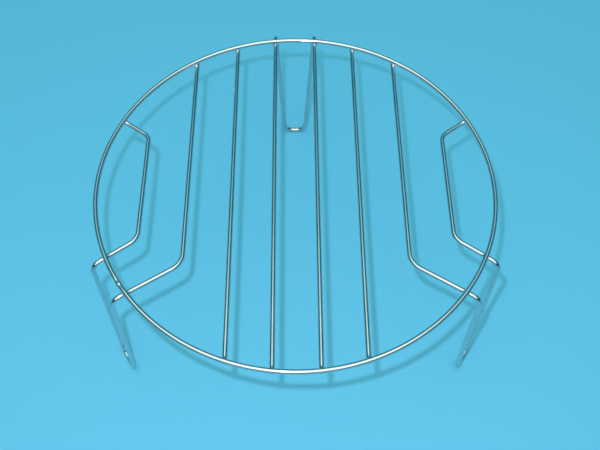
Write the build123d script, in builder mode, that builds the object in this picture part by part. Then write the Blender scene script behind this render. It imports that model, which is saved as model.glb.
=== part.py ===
from build123d import *
import os
from math import cos, radians, sin, sqrt

# Round grill rack on three wire legs, bent from bright-plated steel wire and welded at its crossings.
# Millimetres and degrees. The origin is on the standing surface, below the rim's centre. +Z is up and
# +Y points to the rear leg.

# Wire and welds
wire_diameter = 2.7
weld_set_down = 0.4         # how deep the rim sinks into a wire at a weld
end_overhang = 0.5          # cut end of a wire beyond the rim's centreline

# Rim
rim_diameter = 220.0        # across the wire's centreline
rack_height = 102.4         # standing surface to the top of the rim

# Bars, by the distance of each from the middle plane
plain_bar_offset = 35.4
long_bar_offset = 60.0
short_bar_offset = 84.8
long_bar_front = 48.6       # corner where the long bar turns out to the leg, forward of the rim's centre
short_bar_front = 33.4      # the same corner of the short bar
short_bar_back = 36.0       # corner where the short bar turns out to its tail, behind the rim's centre
short_bar_bend = 9.0        # centreline radius of the bend at the front of the short bar
long_bar_bend = 11.0        # the same at the front of the long bar
tail_bend = 7.0             # the same between the short bar and its tail
tail_angle = 36.0           # of the tail, from the left-right line

# Legs
leg_spacing = 24.2          # between a leg's two strands at the top
foot_spacing = 14.7         # between the same strands at the foot
leg_outset = 7.5            # leg's top outside the rim's centreline
foot_outset = 9.0           # foot outside the same line
leg_bend = 5.5              # centreline radius where a bar or an arm turns down into a leg
foot_bend = 6.5             # the same at the two corners of a foot
side_leg_bearing = 120.7    # of a side leg, from the rear leg

# Places of the wires' centrelines
wire_radius = wire_diameter / 2
rim_radius = rim_diameter / 2
leg_reach = rim_radius + leg_outset
foot_reach = rim_radius + foot_outset
rim_height = rack_height - wire_radius
bar_height = rim_height - wire_diameter + weld_set_down
foot_height = wire_radius
leg_bends = [leg_bend, foot_bend, foot_bend, leg_bend]


def end_under_rim(offset):
    """Distance from the middle at which a bar, this far off the rim's axis, is cut off under the rim."""
    return sqrt(rim_radius**2 - offset**2) + end_overhang


def leg_corners(bearing):
    """Corners of one leg, down its first strand, across the foot and up its second strand."""
    across = Plane.XY.rotated((0, 0, bearing))
    corners = [
        (leg_spacing / 2, leg_reach, bar_height),
        (foot_spacing / 2, foot_reach, foot_height),
        (-foot_spacing / 2, foot_reach, foot_height),
        (-leg_spacing / 2, leg_reach, bar_height),
    ]
    return [across.from_local_coords(Vector(*corner)) for corner in corners]


def tail_end():
    """End of a left-hand tail, cut off under the rim."""
    turn = radians(tail_angle)
    along = short_bar_offset * cos(turn) + short_bar_back * sin(turn)
    aside = short_bar_offset * sin(turn) - short_bar_back * cos(turn)
    length = end_under_rim(aside) - along
    return (-short_bar_offset - length * cos(turn), short_bar_back + length * sin(turn), bar_height)


# The rim, a wire circle that lies on all the other wires
with BuildPart() as rim_ring:
    with BuildSketch(Plane.XZ):
        with Locations((rim_radius, rim_height)):
            Circle(wire_radius)
    revolve(axis=Axis.Z)

# The two plain bars
plain_bars = {}
for name, side in (("left_bar", -1), ("right_bar", 1)):
    with BuildPart() as plain_bar:
        with BuildLine() as course:
            Line(
                (side * plain_bar_offset, -end_under_rim(plain_bar_offset), bar_height),
                (side * plain_bar_offset, end_under_rim(plain_bar_offset), bar_height),
            )
        with BuildSketch(Plane(origin=course.line @ 0, z_dir=course.line % 0)):
            Circle(wire_radius)
        sweep(path=course.line)
        add(rim_ring.part, mode=Mode.SUBTRACT)
    plain_bars[name] = plain_bar

# The hairpin that makes the two middle bars and the rear leg
middle_bar_front = -end_under_rim(leg_spacing / 2)
with BuildPart() as rear_leg_wire:
    with BuildLine() as course:
        FilletPolyline(
            (leg_spacing / 2, middle_bar_front, bar_height),
            *leg_corners(0),
            (-leg_spacing / 2, middle_bar_front, bar_height),
            radius=leg_bends,
        )
    with BuildSketch(Plane(origin=course.line @ 0, z_dir=course.line % 0)):
        Circle(wire_radius)
    sweep(path=course.line)
    add(rim_ring.part, mode=Mode.SUBTRACT)

# A wire on each side makes a tail, a short bar, a leg between two diagonal arms, and a long bar
side_course = [
    tail_end(),
    (-short_bar_offset, short_bar_back, bar_height),
    (-short_bar_offset, -short_bar_front, bar_height),
    *[tuple(corner) for corner in leg_corners(side_leg_bearing)],
    (-long_bar_offset, -long_bar_front, bar_height),
    (-long_bar_offset, end_under_rim(long_bar_offset), bar_height),
]
side_bends = [tail_bend, short_bar_bend, *leg_bends, long_bar_bend]
side_leg_wires = {}
for name, side in (("left_leg_wire", -1), ("right_leg_wire", 1)):
    with BuildPart() as side_leg_wire:
        with BuildLine() as course:
            FilletPolyline(*[(-side * x, y, z) for x, y, z in side_course], radius=side_bends)
        with BuildSketch(Plane(origin=course.line @ 0, z_dir=course.line % 0)):
            Circle(wire_radius)
        sweep(path=course.line)
        add(rim_ring.part, mode=Mode.SUBTRACT)
    side_leg_wires[name] = side_leg_wire

pieces = {"rim_ring": rim_ring, "rear_leg_wire": rear_leg_wire, **plain_bars, **side_leg_wires}
os.makedirs("parts", exist_ok=True)
for name, piece in pieces.items():
    piece.part.label = name
    export_step(piece.part, f"parts/{name}.step")
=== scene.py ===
import bpy
import numpy as np
from mathutils import Matrix, Vector


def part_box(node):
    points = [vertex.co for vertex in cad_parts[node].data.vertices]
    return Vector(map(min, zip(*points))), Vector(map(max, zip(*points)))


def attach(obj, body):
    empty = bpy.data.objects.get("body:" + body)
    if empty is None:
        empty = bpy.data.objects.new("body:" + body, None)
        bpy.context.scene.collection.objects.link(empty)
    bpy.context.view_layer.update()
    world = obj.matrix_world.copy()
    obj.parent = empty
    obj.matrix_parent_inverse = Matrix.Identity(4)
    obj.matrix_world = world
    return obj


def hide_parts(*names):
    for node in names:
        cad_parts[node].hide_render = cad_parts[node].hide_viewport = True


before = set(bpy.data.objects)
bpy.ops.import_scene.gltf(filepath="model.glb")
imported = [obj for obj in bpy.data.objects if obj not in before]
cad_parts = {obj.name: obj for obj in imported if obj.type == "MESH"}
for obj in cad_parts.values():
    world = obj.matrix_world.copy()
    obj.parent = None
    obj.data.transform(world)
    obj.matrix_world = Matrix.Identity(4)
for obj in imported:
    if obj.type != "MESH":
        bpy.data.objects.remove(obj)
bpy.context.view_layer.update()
mm = 0.001

# Sizes that the frame already holds
rimLow, rimHigh = (np.array(corner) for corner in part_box("rim_ring"))
barLow, barHigh = (np.array(corner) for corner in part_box("right_bar"))
rearLow, rearHigh = (np.array(corner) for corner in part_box("rear_leg_wire"))
wireRadius = (rimHigh[2] - rimLow[2]) / 2
rimRadius = rimHigh[0] - wireRadius
rimHeight = (rimHigh[2] + rimLow[2]) / 2
barHeight = barHigh[2] - wireRadius
footHeight = rearLow[2] + wireRadius
barOffset = (barLow[0] + barHigh[0]) / 2
barEnd = barHigh[1]
endOverhang = barEnd - np.sqrt(rimRadius**2 - barOffset**2)
print("frame", len(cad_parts), "nodes, wire", round(wireRadius * 2 / mm, 2), "mm")

# Mesh of any wire, and its welds to the rim
wireWall = {
    "across": 36,             # faces round the wire
    "step": 0.7 * mm,         # along the straight runs
    "bendStep": 0.35 * mm,    # along the bends
    "fewestSteps": 2,         # in a run
    "fewestBendSteps": 8,
    "endEdge": 0.3 * mm,      # rounding of a cut end
    "endRows": 6,             # rows of that rounding
    "weldReach": 1.8 * mm,    # gap that a weld's fillet bridges
    "grainReach": 2.7 * mm,   # gap up to which a weld's grain shows
    "underReach": 2.2 * mm,   # a wire is under the rim this far to each side of the rim's circle
    "underDrop": 1.0 * mm,    # and no lower than this below the bars' middle
}


# Straight runs joined by arcs. Each corner is cut back by bend * tan(turn / 2). Its arc turns the run's
# heading and side vector together, about the axis square to both runs, so the section never twists.
def roundedRoute(corners, bends):
    corners, bends = np.asarray(corners, float), np.asarray(bends, float)
    runs = np.diff(corners, axis=0)
    headings = runs / np.linalg.norm(runs, axis=1)[:, None]
    axes = np.cross(headings[:-1], headings[1:])
    sines = np.linalg.norm(axes, axis=1)
    turns = np.arctan2(sines, (headings[:-1] * headings[1:]).sum(1))
    axes = axes / sines[:, None]
    cutBack = bends * np.tan(turns / 2)
    first = corners[:-1] + headings * np.r_[0, cutBack][:, None]
    last = corners[1:] - headings * np.r_[cutBack, 0][:, None]
    side = np.cross(headings[0], (0, 0, 1))
    points, ways, sides = [], [], []
    for k, heading in enumerate(headings):
        length = np.linalg.norm(last[k] - first[k])
        steps = max(wireWall["fewestSteps"], round(length / wireWall["step"]))
        share = np.arange(0, 1, 1 / steps)[:, None]
        points.append(first[k] + share * (last[k] - first[k]))
        ways.append(np.broadcast_to(heading, points[-1].shape))
        sides.append(np.broadcast_to(side, points[-1].shape))
        if k < len(axes):
            axis, inward = axes[k], np.cross(axes[k], heading)
            steps = max(wireWall["fewestBendSteps"], round(bends[k] * turns[k] / wireWall["bendStep"]))
            angle = (np.arange(steps + 1) / steps * turns[k])[:, None]
            sine, cosine = np.sin(angle), np.cos(angle)
            turned = side * cosine + np.cross(axis, side) * sine + axis * (axis @ side) * (1 - cosine)
            points.append((last[k] + bends[k] * (heading * sine + inward * (1 - cosine)))[:-1])
            ways.append((heading * cosine + inward * sine)[:-1])
            sides.append(turned[:-1])
            side = turned[-1]
    points.append(last[-1:])
    ways.append(headings[-1:])
    sides.append(side[None])
    return np.concatenate(points), np.concatenate(ways), np.concatenate(sides)


# Gap from any point to the rim's skin: distance to the rim's circle, less the wire's radius.
def gapToRim(points):
    outside = np.hypot(points[..., 0], points[..., 1]) - rimRadius
    return np.hypot(outside, points[..., 2] - rimHeight) - wireRadius


# Gap from any point to a straight stretch of wire: distance to the line from a to b, less the wire's radius.
def gapToStretch(points, a, b):
    along = np.clip((points - a) @ (b - a) / ((b - a) @ (b - a)), 0, 1)
    return np.linalg.norm(points - a - along[..., None] * (b - a), axis=-1) - wireRadius


# A weld's fillet: where the other wire is nearer than the reach, the skin swells by
# (reach - gap)^2 / (4 * reach).
def weldSwell(gap):
    reach = wireWall["weldReach"]
    return np.clip(reach - np.maximum(gap, 0), 0, None) ** 2 / (4 * reach)


# A weld's grain: 1 where the other wire touches, falling evenly to 0 at the grain's reach.
def weldGrain(gap):
    return np.clip(1 - gap / wireWall["grainReach"], 0, 1)


# Round section carried along the route: middle + radius * (cos(turn) * side + sin(turn) * rise).
def sweptWall(points, ways, sides, radius):
    turn = np.arange(wireWall["across"]) * (2 * np.pi / wireWall["across"])
    rises = np.cross(sides, ways)
    outward = np.cos(turn)[:, None] * sides[:, None] + np.sin(turn)[:, None] * rises[:, None]
    return points[:, None] + radius[..., None] * outward, outward, turn


# Quads between the rows of a grid of point numbers, whose columns close round.
def gridQuads(below, above):
    return np.stack([below, above, np.roll(above, -1, 1), np.roll(below, -1, 1)], -1).reshape(-1, 4)


# Puts a grid of points into a mesh. Columns close round the wire. Rows close too on the rim, and end in
# a middle point on a cut wire. wireCoord is the same wire laid straight, in metres. weldNear is 1 in a weld.
def wallMesh(name, wall, turn, run, weldNear, ends=None):
    rows, columns = wall.shape[:2]
    index = np.arange(rows * columns).reshape(rows, columns)
    points = wall.reshape(-1, 3)
    straight = np.stack([np.broadcast_to(wireRadius * np.cos(turn), (rows, columns)),
                         np.broadcast_to(wireRadius * np.sin(turn), (rows, columns)),
                         np.broadcast_to(run[:, None], (rows, columns))], -1).reshape(-1, 3)
    near = weldNear.reshape(-1)
    if ends is None:
        faces = gridQuads(index, np.roll(index, -1, axis=0)).tolist()
    else:
        firstMiddle, lastMiddle = len(points), len(points) + 1
        points = np.concatenate([points, ends])
        straight = np.concatenate([straight, [[0, 0, run[0]], [0, 0, run[-1]]]])
        near = np.concatenate([near, [1, 1]])
        firstFan = np.stack([index[0], np.roll(index[0], -1), np.full(columns, firstMiddle)], -1)
        lastFan = np.stack([np.roll(index[-1], -1), index[-1], np.full(columns, lastMiddle)], -1)
        faces = gridQuads(index[:-1], index[1:]).tolist() + firstFan.tolist() + lastFan.tolist()
    mesh = bpy.data.meshes.new(name)
    mesh.from_pydata(points.tolist(), [], faces)
    mesh.polygons.foreach_set("use_smooth", np.ones(len(faces), bool))
    mesh.attributes.new("wireCoord", "FLOAT_VECTOR", "POINT").data.foreach_set("vector", straight.ravel())
    mesh.attributes.new("weldNear", "FLOAT", "POINT").data.foreach_set("value", near)
    mesh.update()
    piece = bpy.data.objects.new(name, mesh)
    bpy.context.scene.collection.objects.link(piece)
    return piece


# A cut wire: the route's end rows draw in on a quarter circle of the end's rounding, and don't swell.
def bentWire(name, corners, bends):
    points, ways, sides = roundedRoute(corners, bends)
    edge, count = wireWall["endEdge"], wireWall["endRows"]
    quarter = np.linspace(0, np.pi / 2, count)
    headRun = edge * (1 - np.cos(quarter))
    points = np.concatenate([points[0] + ways[0] * headRun[:, None], points[1:-1],
                             points[-1] - ways[-1] * headRun[::-1, None]])
    ways = np.concatenate([np.repeat(ways[:1], count, 0), ways[1:-1], np.repeat(ways[-1:], count, 0)])
    sides = np.concatenate([np.repeat(sides[:1], count, 0), sides[1:-1], np.repeat(sides[-1:], count, 0)])
    run = np.r_[0, np.cumsum(np.linalg.norm(np.diff(points, axis=0), axis=1))]
    drawIn = np.zeros(len(points))
    drawIn[:count] = edge * (1 - np.sin(quarter))
    drawIn[-count:] = drawIn[count - 1::-1]
    radius = np.repeat((wireRadius - drawIn)[:, None], wireWall["across"], 1)
    wall, outward, turn = sweptWall(points, ways, sides, radius)
    swell = weldSwell(gapToRim(wall)) * (drawIn < edge / 2)[:, None]
    wall = wall + swell[..., None] * outward
    return wallMesh(name, wall, turn, run, weldGrain(gapToRim(wall)), points[[0, -1]]), points


# Stretches of a route that pass under the rim, as pairs of end points.
def stretchesUnderRim(points):
    outside = np.hypot(points[:, 0], points[:, 1]) - rimRadius
    close = (np.abs(outside) < wireWall["underReach"]) & (points[:, 2] > barHeight - wireWall["underDrop"])
    edges = np.flatnonzero(np.diff(np.r_[False, close, False].astype(int)))
    return [(points[a], points[b - 1]) for a, b in edges.reshape(-1, 2)]


# Two straight bars, from rim to rim
plainBars = {"left": -barOffset, "right": barOffset}
wires, routes = {}, []
for sideName, offset in plainBars.items():
    ends = [(offset, -barEnd, barHeight), (offset, barEnd, barHeight)]
    wires[sideName + "_bar"], route = bentWire(sideName + "Bar", ends, [])
    routes.append(route)
print("bars", [len(piece.data.polygons) for piece in wires.values()], "faces")

# Hairpin legs: two strands that close in towards a U foot
hairpinLeg = {
    "spacing": rearHigh[0] * 2 - wireRadius * 2,   # between the strands at the top
    "footSpacing": 14.7 * mm,
    "reach": 117.5 * mm,                           # rim's axis to the leg at the top
    "footReach": rearHigh[1] - wireRadius,
    "bend": 5.5 * mm,                              # where a bar or an arm turns down
    "footBend": 6.5 * mm,
}
legBends = [hairpinLeg["bend"], hairpinLeg["footBend"], hairpinLeg["footBend"], hairpinLeg["bend"]]


# Four corners of a leg, turned about the rim's axis by its bearing from the rear leg.
def legCorners(bearing):
    top, foot = hairpinLeg["spacing"] / 2, hairpinLeg["footSpacing"] / 2
    corners = np.array([(top, hairpinLeg["reach"], barHeight), (foot, hairpinLeg["footReach"], footHeight),
                        (-foot, hairpinLeg["footReach"], footHeight), (-top, hairpinLeg["reach"], barHeight)])
    return corners @ np.array(Matrix.Rotation(np.radians(bearing), 3, "Z")).T


# Rear leg wire: one hairpin makes the two middle bars and the rear leg
frontEnd = np.array((hairpinLeg["spacing"] / 2, rearLow[1], barHeight))
rearCorners = [frontEnd, *legCorners(0), frontEnd * (-1, 1, 1)]
wires["rear_leg_wire"], route = bentWire("rearLegWire", rearCorners, legBends)
routes.append(route)
print("rear leg wire", len(route), "rows")

# Side leg wires: tail, short bar, leg and long bar in one wire
sideWire = {
    "bearing": 120.7,
    "shortBar": 84.8 * mm, "shortFront": 33.4 * mm, "shortBack": 36.0 * mm, "shortBend": 9.0 * mm,
    "longBar": 60.0 * mm, "longFront": 48.6 * mm, "longBend": 11.0 * mm,
    "tailAngle": 36.0, "tailBend": 7.0 * mm,
}
# The tail runs from the short bar's back corner to the rim's circle, and a little past it
tailTurn = np.radians(sideWire["tailAngle"])
tailWay = np.array((-np.cos(tailTurn), np.sin(tailTurn)))
tailRoot = np.array((-sideWire["shortBar"], sideWire["shortBack"]))
tailAlong = tailRoot @ tailWay
tailRun = np.sqrt(tailAlong**2 - tailRoot @ tailRoot + rimRadius**2) - tailAlong + endOverhang
longBack = np.sqrt(rimRadius**2 - sideWire["longBar"] ** 2) + endOverhang
sideCorners = np.array([
    (*(tailRoot + tailWay * tailRun), barHeight),
    (*tailRoot, barHeight),
    (-sideWire["shortBar"], -sideWire["shortFront"], barHeight),
    *legCorners(sideWire["bearing"]),
    (-sideWire["longBar"], -sideWire["longFront"], barHeight),
    (-sideWire["longBar"], longBack, barHeight),
])
sideBends = [sideWire["tailBend"], sideWire["shortBend"], *legBends, sideWire["longBend"]]
for sideName, flip in {"left": 1, "right": -1}.items():
    corners = sideCorners * (flip, 1, 1)
    wires[sideName + "_leg_wire"], route = bentWire(sideName + "LegWire", corners, sideBends)
    routes.append(route)
print("side leg wires", len(route), "rows")

# Rim: one wire closed by a butt weld between the left leg's arms
rimRing = {
    "rows": 1240,
    "seamBearing": 214.0,
    "seamSwell": 0.3 * mm,    # bead round the butt weld
    "seamWidth": 0.9 * mm,
    "seamSink": 3.0 * mm,     # length of the wire's dip, which keeps the bead level with the rim's top
    "seamGrain": 0.8,
}
rimShare = np.arange(rimRing["rows"]) / rimRing["rows"]
bearing = np.radians(rimRing["seamBearing"]) + 2 * np.pi * rimShare
rimSides = np.stack([np.cos(bearing), np.sin(bearing), 0 * bearing], -1)
rimWays = np.stack([-np.sin(bearing), np.cos(bearing), 0 * bearing], -1)
rimLength = 2 * np.pi * rimRadius
rimRun = rimLength * rimShare
fromSeam = np.minimum(rimRun, rimLength - rimRun)
# Bead and dip are both swell * exp(-(distance / width)^2), over their own widths
seamBead = np.exp(-((fromSeam / rimRing["seamWidth"]) ** 2))
seamDip = np.exp(-((fromSeam / rimRing["seamSink"]) ** 2))
rimLift = np.stack([0 * bearing, 0 * bearing, rimHeight - rimRing["seamSwell"] * seamDip], -1)
rimPoints = rimSides * rimRadius + rimLift
rimGirth = np.repeat((wireRadius + rimRing["seamSwell"] * seamBead)[:, None], wireWall["across"], 1)
rimWall, rimOutward, rimTurn = sweptWall(rimPoints, rimWays, rimSides, rimGirth)
rimGap = np.full(rimWall.shape[:2], np.inf)
for route in routes:
    for a, b in stretchesUnderRim(route):
        rimGap = np.minimum(rimGap, gapToStretch(rimWall, a, b))
rimWall = rimWall + weldSwell(rimGap)[..., None] * rimOutward
rimNear = np.maximum(weldGrain(rimGap), rimRing["seamGrain"] * seamBead[:, None])
wires["rim_ring"] = wallMesh("rimRing", rimWall, rimTurn, rimRun, rimNear)
print("rim", len(wires["rim_ring"].data.polygons), "faces")

# Bright nickel-chrome plate on drawn wire
platedWire = {
    "colour": (0.66, 0.665, 0.675, 1), "colourDull": (0.58, 0.585, 0.59, 1),
    "roughBright": 0.06, "roughDull": 0.14, "roughWeld": 0.28,
    # draw lines run along the wire, fine across it
    "lineStretch": (6000, 6000, 60), "lineNoise": {"Scale": 1.0, "Detail": 3.0, "Roughness": 0.6},
    # slow ripple of the plate, cloudy duller patches, and grain in the welds
    "rippleNoise": {"Scale": 160.0, "Detail": 2.0, "Roughness": 0.5},
    "cloudNoise": {"Scale": 55.0, "Detail": 4.0, "Roughness": 0.6}, "cloudLow": 0.42, "cloudHigh": 0.72,
    "grainNoise": {"Scale": 1500.0, "Detail": 3.0, "Roughness": 0.65},
    # strength and depth of each bump
    "lineBump": (0.05, 0.02 * mm), "rippleBump": (0.12, 0.3 * mm), "grainBump": (0.35, 0.15 * mm),
}


# A node whose properties and sockets are set by name.
def addNode(tree, kind, **values):
    node = tree.nodes.new(kind)
    for name, value in values.items():
        if hasattr(node, name):
            setattr(node, name, value)
        else:
            node.inputs[name.replace("_", " ")].default_value = value
    return node


# A bump of some strength and depth, over an earlier one if there is one.
def addBump(tree, height, level, earlier=None):
    bump = addNode(tree, "ShaderNodeBump", Strength=level[0], Distance=level[1])
    tree.links.new(height, bump.inputs["Height"])
    if earlier is not None:
        tree.links.new(earlier.outputs["Normal"], bump.inputs["Normal"])
    return bump


# Metal whose colour and roughness follow the clouds. It is rougher in the welds, and its draw lines, ripple
# and grain are bumps.
def makePlatedWire():
    material = bpy.data.materials.new("platedWire")
    material.use_nodes = True
    tree = material.node_tree
    tree.nodes.clear()
    link = tree.links.new
    output = addNode(tree, "ShaderNodeOutputMaterial")
    shader = addNode(tree, "ShaderNodeBsdfPrincipled", Metallic=1.0)
    link(shader.outputs["BSDF"], output.inputs["Surface"])
    wireCoord = addNode(tree, "ShaderNodeAttribute", attribute_name="wireCoord")
    weldNear = addNode(tree, "ShaderNodeAttribute", attribute_name="weldNear")
    place = addNode(tree, "ShaderNodeTexCoord")
    stretch = addNode(tree, "ShaderNodeMapping", Scale=platedWire["lineStretch"])
    link(wireCoord.outputs["Vector"], stretch.inputs["Vector"])
    lines = addNode(tree, "ShaderNodeTexNoise", **platedWire["lineNoise"])
    link(stretch.outputs["Vector"], lines.inputs["Vector"])
    ripple = addNode(tree, "ShaderNodeTexNoise", **platedWire["rippleNoise"])
    clouds = addNode(tree, "ShaderNodeTexNoise", **platedWire["cloudNoise"])
    grain = addNode(tree, "ShaderNodeTexNoise", **platedWire["grainNoise"])
    for node in (ripple, clouds, grain):
        link(place.outputs["Object"], node.inputs["Vector"])
    dull = addNode(tree, "ShaderNodeMapRange")
    dull.inputs["From Min"].default_value = platedWire["cloudLow"]
    dull.inputs["From Max"].default_value = platedWire["cloudHigh"]
    link(clouds.outputs["Fac"], dull.inputs["Value"])
    # a Mix node's inputs 6 and 7 are its two colours, and 2 and 3 its two numbers
    colour = addNode(tree, "ShaderNodeMix", data_type="RGBA")
    link(dull.outputs["Result"], colour.inputs["Factor"])
    colour.inputs[6].default_value = platedWire["colour"]
    colour.inputs[7].default_value = platedWire["colourDull"]
    link(colour.outputs[2], shader.inputs["Base Color"])
    rough = addNode(tree, "ShaderNodeMapRange")
    rough.inputs["To Min"].default_value = platedWire["roughBright"]
    rough.inputs["To Max"].default_value = platedWire["roughDull"]
    link(dull.outputs["Result"], rough.inputs["Value"])
    weldRough = addNode(tree, "ShaderNodeMix", data_type="FLOAT")
    weldRough.inputs[3].default_value = platedWire["roughWeld"]
    link(weldNear.outputs["Fac"], weldRough.inputs[0])
    link(rough.outputs["Result"], weldRough.inputs[2])
    link(weldRough.outputs[0], shader.inputs["Roughness"])
    lineBump = addBump(tree, lines.outputs["Fac"], platedWire["lineBump"])
    rippleBump = addBump(tree, ripple.outputs["Fac"], platedWire["rippleBump"], lineBump)
    grainHeight = addNode(tree, "ShaderNodeMath", operation="MULTIPLY")
    link(grain.outputs["Fac"], grainHeight.inputs[0])
    link(weldNear.outputs["Fac"], grainHeight.inputs[1])
    grainBump = addBump(tree, grainHeight.outputs["Value"], platedWire["grainBump"], rippleBump)
    link(grainBump.outputs["Normal"], shader.inputs["Normal"])
    return material


plate = makePlatedWire()
for node, piece in wires.items():
    piece.data.materials.append(plate)
    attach(piece, "root")
    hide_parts(node)
print("plate on", len(wires), "wires")

# Floor: a flat disc, then an arc that rises all round it, in metres
sweptFloor = {
    "flat": 4.5, "sweep": 1.8, "turn": 80.0, "rows": 24, "columns": 128,
    "colour": (0.106, 0.49, 0.674, 1), "roughness": 0.6, "specular": 0.5,
}
# Its profile goes round the upright axis: reach = flat + sweep * sin(rise), height = sweep * (1 - cos(rise))
floorRise = np.radians(np.linspace(0, sweptFloor["turn"], sweptFloor["rows"]))[:, None]
floorBearing = np.arange(sweptFloor["columns"]) * (2 * np.pi / sweptFloor["columns"])
floorReach = sweptFloor["flat"] + sweptFloor["sweep"] * np.sin(floorRise)
floorHeight = sweptFloor["sweep"] * (1 - np.cos(floorRise)) + 0 * floorBearing
floorGrid = np.stack([floorReach * np.cos(floorBearing), floorReach * np.sin(floorBearing), floorHeight], -1)
floorIndex = np.arange(floorHeight.size).reshape(floorHeight.shape)
floorFaces = [floorIndex[0].tolist(), *gridQuads(floorIndex[:-1], floorIndex[1:]).tolist()]
floorMesh = bpy.data.meshes.new("floor")
floorMesh.from_pydata(floorGrid.reshape(-1, 3).tolist(), [], floorFaces)
floorMesh.polygons.foreach_set("use_smooth", np.ones(len(floorFaces), bool))
floor = bpy.data.objects.new("floor", floorMesh)
bpy.context.scene.collection.objects.link(floor)
floorPaint = bpy.data.materials.new("floorPaint")
floorPaint.use_nodes = True
floorShader = floorPaint.node_tree.nodes["Principled BSDF"]
floorShader.inputs["Base Color"].default_value = sweptFloor["colour"]
floorShader.inputs["Roughness"].default_value = sweptFloor["roughness"]
floorShader.inputs["Specular IOR Level"].default_value = sweptFloor["specular"]
floorMesh.materials.append(floorPaint)

# Soft dome: its light follows the cosine to an axis that leans from overhead towards the camera. It is
# narrowed from left to right, and fades to a dark band above the floor's edge.
softDome = {
    "axis": (-0.05, -0.32, 1), "narrow": 1.5,
    # light by the cosine to the axis
    "ramp": {0.22: (0.02, 0.21, 0.30, 1), 0.49: (0.07, 0.39, 0.52, 1), 0.55: (0.25, 0.57, 0.66, 1),
             0.61: (0.33, 0.66, 0.71, 1), 0.67: (0.76, 1.01, 0.89, 1), 0.73: (1.18, 1.38, 1.22, 1),
             0.80: (1.38, 1.58, 1.52, 1), 0.90: (1.40, 1.66, 1.66, 1)},
    "fadeLow": 0.32, "fadeHigh": 0.54, "band": (0.018, 0.035, 0.042, 1),
}
world = bpy.data.worlds.new("softDome")
bpy.context.scene.world = world
world.use_nodes = True
sky = world.node_tree
sky.nodes.clear()
skyOutput = addNode(sky, "ShaderNodeOutputWorld")
skyLight = addNode(sky, "ShaderNodeBackground")
skyPlace = addNode(sky, "ShaderNodeTexCoord")
skyNarrow = addNode(sky, "ShaderNodeMapping", vector_type="NORMAL", Scale=(1 / softDome["narrow"], 1, 1))
skyDot = addNode(sky, "ShaderNodeVectorMath", operation="DOT_PRODUCT")
skyDot.inputs[1].default_value = Vector(softDome["axis"]).normalized()
skyRamp = addNode(sky, "ShaderNodeValToRGB")
skyRamp.color_ramp.interpolation = "EASE"
stops = skyRamp.color_ramp.elements
while len(stops) < len(softDome["ramp"]):
    stops.new(0.5)
for stop, (cosine, light) in zip(stops, softDome["ramp"].items()):
    stop.position, stop.color = cosine, light
skySplit = addNode(sky, "ShaderNodeSeparateXYZ")
skyFade = addNode(sky, "ShaderNodeMapRange", interpolation_type="SMOOTHSTEP",
                  From_Min=softDome["fadeLow"], From_Max=softDome["fadeHigh"])
skyColour = addNode(sky, "ShaderNodeMix", data_type="RGBA")
skyColour.inputs[6].default_value = softDome["band"]
sky.links.new(skyPlace.outputs["Generated"], skyNarrow.inputs["Vector"])
sky.links.new(skyNarrow.outputs["Vector"], skyDot.inputs[0])
sky.links.new(skyDot.outputs["Value"], skyRamp.inputs["Fac"])
sky.links.new(skyNarrow.outputs["Vector"], skySplit.inputs["Vector"])
sky.links.new(skySplit.outputs["Z"], skyFade.inputs["Value"])
sky.links.new(skyFade.outputs["Result"], skyColour.inputs[0])
sky.links.new(skyRamp.outputs["Color"], skyColour.inputs[7])
sky.links.new(skyColour.outputs[2], skyLight.inputs["Color"])
sky.links.new(skyLight.outputs["Background"], skyOutput.inputs["Surface"])

# Key: a small lamp in front, which gives the soft shadow
keyLamp = {"place": (-0.027, -0.241, 0.52), "size": 0.012, "power": 1.375, "colour": (0.8, 0.8, 1.0)}
rimMiddle = Vector((0, 0, rimHeight))
keyData = bpy.data.lights.new("key", "AREA")
keyData.shape, keyData.size = "DISK", keyLamp["size"]
keyData.energy, keyData.color = keyLamp["power"], keyLamp["colour"]
key = bpy.data.objects.new("key", keyData)
key.location = keyLamp["place"]
key.rotation_euler = (rimMiddle - key.location).to_track_quat("-Z", "Y").to_euler()
bpy.context.scene.collection.objects.link(key)

# The camera stands on an orbit round the rim's middle, then turns aside by pan, tilt and roll
camera = {
    "bearing": -0.461, "elevation": 55.107, "distance": 4.1812 * rimRadius,
    "pan": -0.565, "tilt": 2.746, "roll": 0.712,
    "focalPixels": 829.07, "framePixels": 600, "sensor": 36, "clip": (0.01, 50),
}


# Unit vector from the rim's middle at a bearing from the front and an elevation.
def orbitVector(bearing, elevation):
    a, e = np.radians(bearing), np.radians(elevation)
    return Vector((np.sin(a) * np.cos(e), -np.cos(a) * np.cos(e), np.sin(e)))


cameraData = bpy.data.cameras.new("camera")
cameraData.sensor_width = camera["sensor"]
cameraData.lens = camera["focalPixels"] / camera["framePixels"] * camera["sensor"]
cameraData.clip_start, cameraData.clip_end = camera["clip"]
eye = bpy.data.objects.new("camera", cameraData)
bpy.context.scene.collection.objects.link(eye)
back = orbitVector(camera["bearing"] + camera["pan"], camera["elevation"] + camera["tilt"])
right = Vector((0, 0, 1)).cross(back).normalized()
rise = back.cross(right)
roll = Matrix.Rotation(np.radians(camera["roll"]), 3, back)
axes = Matrix((roll @ right, roll @ rise, back)).transposed().to_4x4()
stand = rimMiddle + orbitVector(camera["bearing"], camera["elevation"]) * camera["distance"]
eye.matrix_world = Matrix.Translation(stand) @ axes
bpy.context.scene.camera = eye
bpy.context.scene.view_settings.view_transform = "Standard"
print("studio set")
